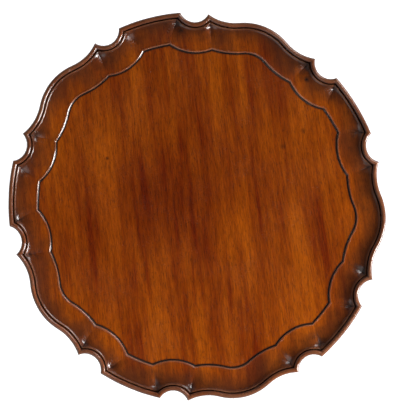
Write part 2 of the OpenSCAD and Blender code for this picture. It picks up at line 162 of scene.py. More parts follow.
class TableColours(bpy.types.PropertyGroup):
    """Colours of the woods and metals"""

    field_light: colour_property("Field light", "Light ribbon of the top", (0.338, 0.0695, 0.0022))
    field_dark: colour_property("Field dark", "Dark ribbon of the top", (0.134, 0.0150, 0.001))
    heart: colour_property("Heart", "Tint of the darker middle of the top", (0.72, 0.6, 0.42))
    rim: colour_property("Rim", "Stained wood of the carved rim", (0.078, 0.020, 0.006))
    # Also the colour of the painted highlights on the top's bead, fillet and arris
    wear_and_highlight: colour_property("Worn edge", "Wood rubbed bare on the high edges", (0.30, 0.13, 0.065))
    # Also the colour of the painted shade on the top's rim: the lip's outer edge, the quirk, under the
    # lip, the creases and the foot of the arris
    grime_and_shade: colour_property("Grime", "Old wax and dirt in the hollows", (0.010, 0.005, 0.003))
    base_light: colour_property("Base light", "Light figure of the base", (0.155, 0.038, 0.007))
    base_dark: colour_property("Base dark", "Dark figure of the base", (0.058, 0.012, 0.003))
    bare_light: colour_property("Bare light", "Unpolished wood, light", (0.17, 0.082, 0.037))
    bare_dark: colour_property("Bare dark", "Unpolished wood, dark", (0.085, 0.040, 0.020))
    brass: colour_property("Brass", "Rubbed brass", (0.56, 0.37, 0.16))
    tarnish: colour_property("Tarnish", "Brown tarnish on the brass", (0.17, 0.10, 0.045))
    iron: colour_property("Iron", "Blacked wrought iron", (0.055, 0.05, 0.048))
    rust: colour_property("Rust", "Thin rust on iron and steel", (0.16, 0.06, 0.025))
    steel: colour_property("Steel", "Dull steel of the screws", (0.32, 0.31, 0.30))
    floor: colour_property("Floor", "Plain pale floor", (0.5, 0.5, 0.5))


class StageSettings(bpy.types.PropertyGroup):
    """Camera, floor and lights"""

    camera_height: FloatProperty(
        name="Camera height", description="Camera above the rim of the top",
        default=4.0, unit="LENGTH")
    view_height: FloatProperty(
        name="View height", description="Length across the picture's height, at the rim",
        default=0.7125, unit="LENGTH")
    turn: FloatProperty(
        name="Turn", description="Turn of the picture about the pillar's axis",
        default=math.radians(-14.36), unit="ROTATION")
    aside: FloatVectorProperty(
        name="Aside", description="Camera to the right of the pillar's axis and up the picture",
        default=(0.0045, -0.001), size=2, unit="LENGTH")
    floor_width: FloatProperty(
        name="Floor width", description="Side of the square floor", default=40.0, unit="LENGTH")
    floor_glow: FloatProperty(
        name="Floor glow", description="Even light of the floor and the room", default=0.86)


def sizes():
    return bpy.context.scene.tea_table_sizes


def colours():
    return bpy.context.scene.tea_table_colours


# The carved outline, worked out as arcs

def polar(radius, angle):
    return Vector((radius * math.cos(angle), radius * math.sin(angle)))


def circles_meet(centre_a, radius_a, centre_b, radius_b, side):
    """Where two circles cross, on the left (1) or right (-1) of the line from a to b."""
    across = centre_b - centre_a
    gap = across.length
    along = (gap ** 2 + radius_a ** 2 - radius_b ** 2) / (2 * gap)
    up = math.sqrt(radius_a ** 2 - along ** 2)
    unit = across / gap
    return centre_a + along * unit + side * up * Vector((-unit.y, unit.x))


def arc_between(centre, start, end, fractions):
    """Points at the given fractions of the short arc from start to end about centre."""
    radius = (start - centre).length
    first = math.atan2(start.y - centre.y, start.x - centre.x)
    last = math.atan2(end.y - centre.y, end.x - centre.x)
    turn = (last - first + math.pi) % (2 * math.pi) - math.pi
    return [centre + polar(radius, first + turn * f) for f in fractions], abs(turn) * radius


def close_to_end(count):
    return [math.sin(math.pi / 2 * i / count) for i in range(count)]


def close_to_start(count):
    return [1 - math.cos(math.pi / 2 * i / count) for i in range(count)]


def close_to_both(count):
    return [0.5 - 0.5 * math.cos(math.pi * i / count) for i in range(count)]


def half_repeat(inset):
    """Half of one repeat, inset from the outline, as (point, distance from the nearest crease)."""
    size = sizes()
    radius = size.top_radius
    drop = 0.6 * MM
    scoop_centre = polar(radius + 10 * MM, math.radians(14.05))
    hollow_out = radius + 67.3 * MM
    hollow_angle = math.radians(24.2)
    hollow_centre = polar(hollow_out, hollow_angle)
    reach = size.hollow_radius + radius - drop
    crown_gap = reach - hollow_out * math.cos(HALF_REPEAT - hollow_angle)
    crown_out = (reach ** 2 - hollow_out ** 2) / (2 * crown_gap)
    crown_radius = radius - drop - crown_out
    crown_centre = polar(crown_out, HALF_REPEAT)
    scoop, hollow = size.scoop_radius + inset, size.hollow_radius + inset
    middle = polar(radius - inset, 0)
    corner = circles_meet(Vector((0, 0)), radius - inset, scoop_centre, scoop, -1)
    cusp = circles_meet(scoop_centre, scoop, hollow_centre, hollow, 1)
    ease = hollow / (size.hollow_radius + crown_radius)
    turn = hollow_centre + (crown_centre - hollow_centre) * ease
    crown = polar(crown_out + crown_radius - inset, HALF_REPEAT)
    stretches = (
        (Vector((0, 0)), middle, corner, close_to_end(7), "end"),
        (scoop_centre, corner, cusp, close_to_both(14), "both"),
        (hollow_centre, cusp, turn, close_to_start(11), "start"),
        (crown_centre, turn, crown, [i / 8 for i in range(8)], "none"),
    )
    found = []
    for centre, start, end, fractions, crease_at in stretches:
        points, length = arc_between(centre, start, end, fractions)
        for point, f in zip(points, fractions):
            distance = {"end": (1 - f) * length, "start": f * length,
                        "both": min(f, 1 - f) * length, "none": 1.0}[crease_at]
            found.append((point, distance))
    found.append((crown, 1.0))
    return found


def outline(inset):
    """The whole outline as (point, distance from the nearest crease), shrunk across the grain."""
    half = half_repeat(inset)
    mirrored = [(Matrix.Rotation(2 * HALF_REPEAT, 2) @ Vector((p.x, -p.y)), d)
                for p, d in reversed(half[1:])]
    shrink = sizes().shrink
    points = []
    for k in range(REPEATS):
        turn = Matrix.Rotation(math.pi / 2 + 2 * HALF_REPEAT * k, 2)
        for point, distance in half[:-1] + mirrored:
            placed = turn @ point
            points.append((Vector((placed.x * shrink, placed.y)), distance))
    return points


def rim_section():
    """The rim's section as (inset, height above the underside), from the underside to the field."""
    size = sizes()
    board = BOARD_HIGH.z - BOARD_LOW.z
    field = FIELD_Z - BOARD_LOW.z
    lip = size.lip_radius
    under = [(15, 0), (10, 0.5), (6.5, 1.7), (4, 3.6), (2.2, 6.2), (1.2, 9), (0.6, 12), (0.4, 15)]
    section = [(inset * MM, height * MM) for inset, height in under]
    bead = (lip + 0.15 * MM, board - lip)
    bead_steps = 14
    for step in range(bead_steps + 1):
        angle = math.radians(-18 + 198 * step / bead_steps)
        section.append((bead[0] - lip * math.cos(angle), bead[1] + lip * math.sin(angle)))
    quirk = [(8.7, -6.4), (9.1, -6.8), (9.5, -6.5), (10.0, -5.3), (10.5, -4.7), (11.2, -4.6),
             (12.0, -4.8), (12.7, -5.3)]
    section += [(inset * MM, board + height * MM) for inset, height in quirk]
    start, top = section[-1]
    end, foot = size.rim_width - 4.2 * MM, field + 1.4 * MM
    squareness = 1.55
    crowding = 1.4
    cove_steps = 24
    for step in range(1, cove_steps + 1):
        t = (step / cove_steps) ** crowding
        fall = (1 - (1 - t) ** squareness) ** (1 / squareness)
        section.append((start + (end - start) * t, top - (top - foot) * fall))
    rim = size.rim_width / MM
    step_down = [(-3.6, 1.65), (-3.1, 1.75), (-2.6, 1.6), (-2.1, 1.25), (-1.5, 0.8), (-0.9, 0.35),
                 (-0.4, -0.2), (0, -0.5), (0.35, -0.4), (0.8, 0), (2, 0), (4, 0), (8, 0)]
    section += [((rim + inset) * MM, field + height * MM) for inset, height in step_down]
    return section


# Modelling helpers

def ring_of_edges(bm, points):
    verts = [bm.verts.new(p) for p in points]
    return verts, [bm.edges.new(pair) for pair in zip(verts, verts[1:] + verts[:1])]


def extrude_ring(bm, verts, edges, points):
    """Extrudes a closed loop and puts its new vertices, in order, at the points."""
    made = bmesh.ops.extrude_edge_only(bm, edges=edges)["geom"]
    fresh = {item for item in made if isinstance(item, bmesh.types.BMVert)}
    next_verts = []
    for vert, point in zip(verts, points):
        partner = next(e.other_vert(vert) for e in vert.link_edges if e.other_vert(vert) in fresh)
        partner.co = point
        next_verts.append(partner)
    pairs = zip(next_verts, next_verts[1:] + next_verts[:1])
    return next_verts, [bm.edges.get(pair) for pair in pairs]


def spin_profile(bm, points, segments):
    """Turns a profile of (radius, height) points, from axis to axis, into a closed shape."""
    verts = [bm.verts.new((radius, 0, height)) for radius, height in points]
    edges = [bm.edges.new(pair) for pair in zip(verts, verts[1:])]
    bmesh.ops.spin(bm, geom=verts + edges, cent=(0, 0, 0), axis=(0, 0, 1), dvec=(0, 0, 0),
                   angle=2 * math.pi, steps=segments, use_merge=True, use_duplicate=False)
    bmesh.ops.remove_doubles(bm, verts=bm.verts[:], dist=MERGE_DISTANCE)


def finish_piece(bm, name, body, replaced, material):
    """Makes a bmesh an object that rides on a body and stands for CAD nodes."""
    mesh = bpy.data.meshes.new(name)
    bm.to_mesh(mesh)
    bm.free()
    mesh.materials.append(material)
    mesh.shade_smooth()
    mesh.set_sharp_from_angle(angle=CREASE_ANGLE)
    piece = bpy.data.objects.new(name, mesh)
    bpy.context.scene.collection.objects.link(piece)
    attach(piece, body)
    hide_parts(*replaced)
    return piece


def body_of(node):
    bodies = frame["record"]["behaviour"]["bodies"]
    return next(body for body, nodes in bodies.items() if node in nodes)


def eased_copy(node, width, material, segments=2):
    """Stands for a CAD node with the same shape and rounded edges, and marks the rounds as worn."""
    bm = bmesh.new()
    bm.from_mesh(frame["nodes"][node].data)
    bmesh.ops.remove_doubles(bm, verts=bm.verts[:], dist=MERGE_DISTANCE)
    bmesh.ops.dissolve_limit(bm, angle_limit=FLAT_ANGLE, verts=bm.verts[:], edges=bm.edges[:],
                             delimit=set())
    sharp = [e for e in bm.edges if e.is_manifold and e.calc_face_angle(0) > SHARP_ANGLE]
    made = bmesh.ops.bevel(bm, geom=sharp, offset=width, offset_type="OFFSET", affect="EDGES",
                           segments=segments, profile=0.5, material=-1, clamp_overlap=True)
    wear = bm.loops.layers.float.new("wear")
    for face in made["faces"]:
        for loop in face.loops:
            loop[wear] = 1.0
    return finish_piece(bm, node + "_eased", body_of(node), [node], material)


# Shader nodes

def add(tree, kind, inputs=None, **settings):
    """Adds a node. Inputs are by name or number, each a value or a socket to link from."""
    node = tree.nodes.new(kind)
    for key, value in settings.items():
        setattr(node, key, value)
    for key, value in (inputs or {}).items():
        socket = node.inputs[key]
        if isinstance(value, bpy.types.NodeSocket):
            tree.links.new(value, socket)
        else:
            socket.default_value = value
    return node


def math_node(tree, operation, a, b=0.0, clamp=False):
    return add(tree, "ShaderNodeMath", {0: a, 1: b}, operation=operation, use_clamp=clamp).outputs[0]


def product(tree, first, *others):
    for other in others:
        first = math_node(tree, "MULTIPLY", first, other)
    return first


def mix_colour(tree, factor, a, b, blend="MIX"):
    node = add(tree, "ShaderNodeMix", data_type="RGBA", blend_type=blend)
    for socket, value in ((node.inputs[0], factor), (node.inputs[6], a), (node.inputs[7], b)):
        if isinstance(value, bpy.types.NodeSocket):
            tree.links.new(value, socket)
        elif socket.type == "RGBA":
            socket.default_value = (*value, 1.0)
        else:
            socket.default_value = value
    return node.outputs[2]


def rim_lines(tree, inset, lines):
    """How strong the lines are at a distance in from the outline."""
    value = math_node(tree, "MULTIPLY", inset, 1 / (LINES_REACH * MM))
    node = add(tree, "ShaderNodeValToRGB", {0: value})
    elements = node.color_ramp.elements
    while len(elements) < len(lines):
        elements.new(0.5)
    for element, (distance, amount) in zip(elements, lines):
        element.position = distance / LINES_REACH
        element.color = (amount, amount, amount, 1.0)
    return node.outputs[0]


def map_range(tree, value, low, high, to_low=0.0, to_high=1.0):
    return add(tree, "ShaderNodeMapRange",
               {"Value": value, "From Min": low, "From Max": high,
                "To Min": to_low, "To Max": to_high}, clamp=True).outputs[0]


def noise_node(tree, vector, scale, detail, roughness=0.5):
    return add(tree, "ShaderNodeTexNoise",
               {"Vector": vector, "Scale": scale, "Detail": detail,
                "Roughness": roughness}).outputs[0]


def stretched(tree, vector, scale):
    return add(tree, "ShaderNodeVectorMath", {0: vector, 1: scale}, operation="MULTIPLY").outputs[0]


def node_group(name, masks, build):
    """A shader node group, made once, that turns a vector into the named masks."""
    if name in bpy.data.node_groups:
        return bpy.data.node_groups[name]
    group = bpy.data.node_groups.new(name, "ShaderNodeTree")
    group.interface.new_socket("Vector", in_out="INPUT", socket_type="NodeSocketVector")
    for mask in masks:
        group.interface.new_socket(mask, in_out="OUTPUT", socket_type="NodeSocketFloat")
    source = group.nodes.new("NodeGroupInput").outputs
    target = group.nodes.new("NodeGroupOutput").inputs
    for title, socket in build(group, source).items():
        group.links.new(socket, target[title])
    return group


def mahogany_figure():
    """Bands, streaks, pores and mottle of mahogany whose grain runs along the vector's Y."""
    def build(tree, source):
        vector = source["Vector"]
        wander = noise_node(tree, stretched(tree, vector, (3.0, 1.1, 3.0)), 1.0, 1.0)
        swing = add(tree, "ShaderNodeCombineXYZ", {0: product(tree, wander, 0.05)}).outputs[0]
        bent = add(tree, "ShaderNodeVectorMath", {0: vector, 1: swing}, operation="ADD").outputs[0]
        wide = noise_node(tree, stretched(tree, bent, (24.0, 3.2, 24.0)), 1.0, 2.0, 0.55)
        narrow = noise_node(tree, stretched(tree, bent, (110.0, 7.0, 110.0)), 1.0, 3.0, 0.6)
        bands = math_node(tree, "ADD", product(tree, wide, 0.62), product(tree, narrow, 0.38))
        streaks = noise_node(tree, stretched(tree, bent, (520.0, 50.0, 520.0)), 1.0, 3.0, 0.65)
        pore_noise = noise_node(tree, stretched(tree, bent, (900.0, 160.0, 900.0)), 1.0, 1.0)
        mottle = noise_node(tree, stretched(tree, vector, (7.0, 4.0, 7.0)), 1.0, 2.0)
        return {
            "Bands": map_range(tree, bands, 0.36, 0.64),
            "Streaks": map_range(tree, streaks, 0.3, 0.7),
            "Pores": map_range(tree, pore_noise, 0.58, 0.68),
            "Mottle": map_range(tree, mottle, 0.35, 0.65),
        }
    return node_group("Mahogany figure", ("Bands", "Streaks", "Pores", "Mottle"), build)


def age_marks():
    """Soft handling marks and small dents over any surface."""
    def build(tree, source):
        vector = source["Vector"]
        smudges = noise_node(tree, vector, 14.0, 4.0, 0.6)
        dents = add(tree, "ShaderNodeTexVoronoi", {"Vector": vector, "Scale": 38.0},
                    feature="F1").outputs["Distance"]
        return {
            "Smudges": map_range(tree, smudges, 0.4, 0.62),
            "Dents": map_range(tree, dents, 0.10, 0.03),
        }
    return node_group("Age marks", ("Smudges", "Dents"), build)


def new_material(name):
    material = bpy.data.materials.new(name)
    material.use_nodes = True
    tree = material.node_tree
    tree.nodes.clear()
    shader = add(tree, "ShaderNodeBsdfPrincipled")
    output = add(tree, "ShaderNodeOutputMaterial")
    tree.links.new(shader.outputs[0], output.inputs[0])
    return material, tree, shader


def grain_vector(tree, turn, shift=(0, 0, 0)):
    """Object coordinates turned so that the grain runs along Y."""
    place = add(tree, "ShaderNodeTexCoord").outputs["Object"]
    return add(tree, "ShaderNodeMapping", {"Vector": place, "Rotation": turn, "Location": shift},
               vector_type="POINT").outputs[0]


def use_group(tree, group, vector):
    node = add(tree, "ShaderNodeGroup", node_tree=group)
    tree.links.new(vector, node.inputs["Vector"])
    return node.outputs


def attribute(tree, name):
    return add(tree, "ShaderNodeAttribute", attribute_name=name,
               attribute_type="GEOMETRY").outputs["Fac"]


def soft_spot(tree, place, centre, radius, depth=1.0):
    """1 at a place on the board, falling to 0 at the radius, or at depth times it along Y."""
    flat = stretched(tree, place, (1.0, 1 / depth, 0.0))
    away = add(tree, "ShaderNodeVectorMath", {0: flat, 1: (centre[0], centre[1] / depth, 0.0)},
               operation="DISTANCE").outputs["Value"]
    node = add(tree, "ShaderNodeMapRange", {"Value": away, "From Min": radius, "From Max": 0.0},
               interpolation_type="SMOOTHSTEP", clamp=True)
    return node.outputs[0]


def bump(tree, height, distance, normal=None):
    inputs = {"Height": height, "Distance": distance}
    if normal is not None:
        inputs["Normal"] = normal
    return add(tree, "ShaderNodeBump", inputs).outputs[0]


def rim_dirt_and_shade(tree, place, inset, mitre):
    """Where the rim is darkened: old wax and dirt along its lines and in blotches, and painted shade
    on the lip's outer edge, in the quirk, under the lip, at the foot of the arris, in the creases and
    near them.
    """
    lines = rim_lines(tree, inset, DIRT_AND_SHADE_LINES)
    cove = product(tree, map_range(tree, inset, 9 * MM, 11 * MM),
                   map_range(tree, inset, 53 * MM, 50 * MM))
    # Painted shade in the outer half of each crease
    crease = product(tree, map_range(tree, mitre, 3.5 * MM, 0.2 * MM),
                     map_range(tree, inset, 34 * MM, 12 * MM), cove, 0.75)
    spots = map_range(tree, noise_node(tree, place, 60.0, 3.0), 0.42, 0.62)
    # Dirt blotches, darker near the creases and toward the lip as painted shade
    blotch_and_shade = product(tree, map_range(tree, mitre, 30 * MM, 0.0, 0.3, 0.85), spots, cove,
                     map_range(tree, inset, 45 * MM, 15 * MM))
    return math_node(tree, "MAXIMUM", lines, math_node(tree, "MAXIMUM", crease, blotch_and_shade))


def stained(tree, place, wood, bands, inset, on_field):
    """The wood stained on the rim, darker in the middle and lighter toward one side."""
    colour = colours()
    clear = map_range(tree, inset, 17 * MM, 44 * MM, 0.30, 0.95)
    patchy = map_range(tree, noise_node(tree, place, 26.0, 2.0), 0.35, 0.65, 0.6, 1.35)
    clear = product(tree, clear, map_range(tree, bands, 0.0, 1.0, 0.8, 1.1))
    clear = math_node(tree, "MULTIPLY", clear, patchy, clamp=True)
    toned = mix_colour(tree, on_field, mix_colour(tree, clear, colour.rim, wood), wood)
    heart = product(tree, soft_spot(tree, place, HEART_PLACE, HEART_RADIUS, HEART_DEPTH), 0.95)
    heart_tone = mix_colour(tree, 1.0, toned, colour.heart, "MULTIPLY")
    toned = mix_colour(tree, heart, toned, heart_tone)
    # Lighter toward one side of the top
    toward_lighter = add(tree, "ShaderNodeVectorMath", {0: place, 1: LIGHTER_TOWARD},
                operation="DOT_PRODUCT").outputs["Value"]
    lighter_side = map_range(tree, toward_lighter, -300 * MM, 300 * MM, 0.83, 1.18)
    return mix_colour(tree, 1.0, toned, lighter_side, "MULTIPLY")


def top_wood():
    """The top: figured mahogany, darker and grimy in the carving with painted shade in its quirk,
    creases and hollows, rubbed light on its edges with painted highlights on the bead, fillet and
    arris.
    """
    colour = colours()
    material, tree, shader = new_material("Top mahogany")
    place = add(tree, "ShaderNodeTexCoord").outputs["Object"]
    vector = grain_vector(tree, (0, 0, math.radians(7.8)), (0.411, 0.42, 0))
    figure = use_group(tree, mahogany_figure(), vector)
    age = use_group(tree, age_marks(), vector)
    inset = attribute(tree, "inset")
    on_field = map_range(tree, inset, 53 * MM, 55.6 * MM)
    fibre = map_range(tree, figure["Streaks"], 0.0, 1.0, 0.66, 1.32)
    wood = mix_colour(tree, figure["Bands"], colour.field_dark, colour.field_light)
    wood = mix_colour(tree, 1.0, wood, fibre, "MULTIPLY")
    toned = stained(tree, place, wood, figure["Bands"], inset, on_field)
    toned = mix_colour(tree, product(tree, figure["Pores"], 0.35), toned, colour.grime_and_shade)
    # Rubbed edges of the rim, made lighter still as painted highlights on the bead, the fillet and the
    # arris
    wear_and_highlight = product(tree, rim_lines(tree, inset, WEAR_AND_HIGHLIGHT_LINES),
                   map_range(tree, age["Smudges"], 0.0, 1.0, 0.35, 1.0))
    toned = mix_colour(tree, wear_and_highlight, toned, colour.wear_and_highlight)
    # Dirt and painted shade along the rim's lines, in its creases and near the lip
    grime_and_shade = rim_dirt_and_shade(tree, place, inset, attribute(tree, "mitre"))
    toned = mix_colour(tree, grime_and_shade, toned, colour.grime_and_shade)
    for x, y, radius, strength in OLD_MARKS:
        mark = product(tree, soft_spot(tree, place, (x, y), radius), strength)
        toned = mix_colour(tree, mark, toned, colour.grime_and_shade)
    bare = attribute(tree, "bare")
    bare_wood = mix_colour(tree, figure["Bands"], colour.bare_dark, colour.bare_light)
    bare_wood = mix_colour(tree, 1.0, bare_wood, fibre, "MULTIPLY")
    tree.links.new(mix_colour(tree, bare, toned, bare_wood), shader.inputs["Base Color"])
    gloss = map_range(tree, age["Smudges"], 0.0, 1.0, 0.20, 0.28)
    gloss = math_node(tree, "ADD", gloss, map_range(tree, on_field, 0.0, 1.0, -0.02, 0.0))
    gloss = math_node(tree, "ADD", gloss, product(tree, grime_and_shade, 0.05))
    gloss = math_node(tree, "ADD", gloss, product(tree, bare, 0.35), clamp=True)
    tree.links.new(gloss, shader.inputs["Roughness"])
    shader.inputs["Specular IOR Level"].default_value = 0.4
    shader.inputs["Coat Roughness"].default_value = 0.15
    wax = product(tree, math_node(tree, "SUBTRACT", 1.0, bare),
                  map_range(tree, on_field, 0.0, 1.0, 0.6, 0.0),
                  math_node(tree, "SUBTRACT", 1.0, grime_and_shade))
    tree.links.new(wax, shader.inputs["Coat Weight"])
    fibres = bump(tree, figure["Streaks"], 0.06 * MM)
    pitted = bump(tree, math_node(tree, "SUBTRACT", 1.0, figure["Pores"]), 0.08 * MM, fibres)
    planed = bump(tree, noise_node(tree, vector, 11.0, 1.0), 0.6 * MM, pitted)
    tree.links.new(planed, shader.inputs["Normal"])
    return material


def base_wood(name, turn, bare=False, shift=(0, 0, 0)):
    """Polished or bare mahogany for the parts under the top, with the grain turned onto Y."""
    colour = colours()
    material, tree, shader = new_material(name)
    vector = grain_vector(tree, turn, shift)
    figure = use_group(tree, mahogany_figure(), vector)
    age = use_group(tree, age_marks(), vector)
    dark, light = ((colour.bare_dark, colour.bare_light) if bare
                   else (colour.base_dark, colour.base_light))
    wood = mix_colour(tree, figure["Bands"], dark, light)
    fibre = map_range(tree, figure["Streaks"], 0.0, 1.0, 0.74, 1.2)
    wood = mix_colour(tree, 1.0, wood, fibre, "MULTIPLY")
    wood = mix_colour(tree, product(tree, figure["Mottle"], 0.25), wood, dark)
    wood = mix_colour(tree, product(tree, figure["Pores"], 0.55), wood, colour.grime_and_shade)
    wear = product(tree, attribute(tree, "wear"),
                   map_range(tree, age["Smudges"], 0.0, 1.0, 0.1, 0.55))
    wood = mix_colour(tree, wear, wood, colour.wear_and_highlight)
    wood = mix_colour(tree, product(tree, age["Dents"], 0.5), wood, colour.grime_and_shade)
    tree.links.new(wood, shader.inputs["Base Color"])
    low, high = (0.62, 0.78) if bare else (0.30, 0.46)
    tree.links.new(map_range(tree, age["Smudges"], 0.0, 1.0, low, high), shader.inputs["Roughness"])
    shader.inputs["Specular IOR Level"].default_value = 0.45
    fibres = bump(tree, figure["Streaks"], (0.12 if bare else 0.06) * MM)
    pitted = bump(tree, math_node(tree, "SUBTRACT", 1.0, figure["Pores"]), 0.1 * MM, fibres)
    tooled = bump(tree, noise_node(tree, vector, 26.0, 1.0), 0.5 * MM, pitted)
    tree.links.new(tooled, shader.inputs["Normal"])
    return material


def metal(name, clean, dull, cover, roughness, pitting, metallic):
    """A metal under patches of tarnish or rust, brighter where its edges are rubbed."""
    material, tree, shader = new_material(name)
    place = add(tree, "ShaderNodeTexCoord").outputs["Object"]
    patches = noise_node(tree, place, 60.0, 3.0, 0.55)
    specks = noise_node(tree, place, 900.0, 3.0, 0.6)
    spread = map_range(tree, patches, 0.62 - 0.25 * cover, 0.72 - 0.25 * cover)
    rubbed = attribute(tree, "wear")
    spread = product(tree, spread, map_range(tree, rubbed, 0.0, 1.0, 1.0, 0.35))
    skin = mix_colour(tree, spread, clean, dull)
    skin = mix_colour(tree, product(tree, map_range(tree, specks, 0.55, 0.7), 0.4), skin, dull)
    tree.links.new(skin, shader.inputs["Base Color"])
    rough = math_node(tree, "ADD", map_range(tree, spread, 0.0, 1.0, roughness, roughness + 0.25),
                      map_range(tree, specks, 0.3, 0.7, -0.04, 0.06), clamp=True)
    tree.links.new(rough, shader.inputs["Roughness"])
    tree.links.new(map_range(tree, spread, 0.0, 1.0, metallic, metallic * 0.6),
                   shader.inputs["Metallic"])
    hammered = bump(tree, noise_node(tree, place, 140.0, 2.0), pitting)
    tree.links.new(bump(tree, specks, pitting * 0.25, hammered), shader.inputs["Normal"])
    return material


def shared_metal(name, **settings):
    return bpy.data.materials.get(name) or metal(name, **settings)


def brass():
    return shared_metal("Aged brass", clean=colours().brass, dull=colours().tarnish,
                        cover=0.30, roughness=0.30, pitting=0.06 * MM, metallic=1.0)


def iron():
    return shared_metal("Wrought iron", clean=colours().iron, dull=colours().rust,
                        cover=0.35, roughness=0.5, pitting=0.4 * MM, metallic=0.8)


def steel():
    return shared_metal("Dull steel", clean=colours().steel, dull=colours().rust,
                        cover=0.5, roughness=0.38, pitting=0.1 * MM, metallic=0.9)


# Pieces

class TopBoard(bpy.types.Operator):
    """Carve the piecrust top: lip, quirk, fillet, cove, arris and flat field"""

    bl_idname = "tea_table.top_board"
    bl_label = "Carved top"

    def execute(self, context):
        bm = bmesh.new()
        inset_layer = bm.verts.layers.float.new("inset")
        mitre_layer = bm.verts.layers.float.new("mitre")
        bare_layer = bm.verts.layers.float.new("bare")
        section = rim_section()

        def ring_at(station):
            inset, height = section[station]
            return [(self.carved(point, distance, inset, height), distance)
                    for point, distance in outline(inset)]

        first = ring_at(0)
        verts, edges = ring_of_edges(bm, [p for p, _ in first])
        underside = edges
        for station, (inset, height) in enumerate(section):
            ring = ring_at(station)
            if station:
                verts, edges = extrude_ring(bm, verts, edges, [p for p, _ in ring])
            for vert, (_, distance) in zip(verts, ring):
                vert[inset_layer] = inset
                vert[mitre_layer] = distance
                vert[bare_layer] = 1.0 if height < BARE_HEIGHT else 0.0
        bmesh.ops.contextual_create(bm, geom=underside)
        bmesh.ops.contextual_create(bm, geom=edges)
        bmesh.ops.recalc_face_normals(bm, faces=bm.faces[:])
        finish_piece(bm, "carved_top", "top", ["top_board"], top_wood())
        return {"FINISHED"}

    def carved(self, point, mitre, inset, height):
        """A point of the rim as a hand-held gouge leaves it, cut deeper into the creases."""
        spot = Vector((point.x, point.y, 0))
        rim = sizes().rim_width
        beyond_rim = 4 * MM
        inward = min(1.0, max(0.0, (rim + beyond_rim - inset) / beyond_rim))
        wander = abs(noise.noise(spot * 30)) * 0.5 * MM * inward
        across = (inset - 13 * MM) / (rim - 16 * MM)
        cut = 0.0
        upper_side = (FIELD_Z - BOARD_LOW.z) * 0.8
        if 0 < across < 1 and height > upper_side:
            entry = min(1.0, across * 9)
            nearness = max(0.0, 1 - mitre / CREASE_REACH) ** 1.5
            valley = CREASE_DEPTH * nearness * (1 - across) ** 1.4
            ripple = noise.noise(Vector((point.x, point.y, 3 * MM)) * 60) * 0.35 * MM
            cut = entry * (valley + ripple * math.sin(math.pi * across))
        placed = spot - spot.normalized() * wander
        return Vector((placed.x, placed.y, BOARD_LOW.z + height - cut))


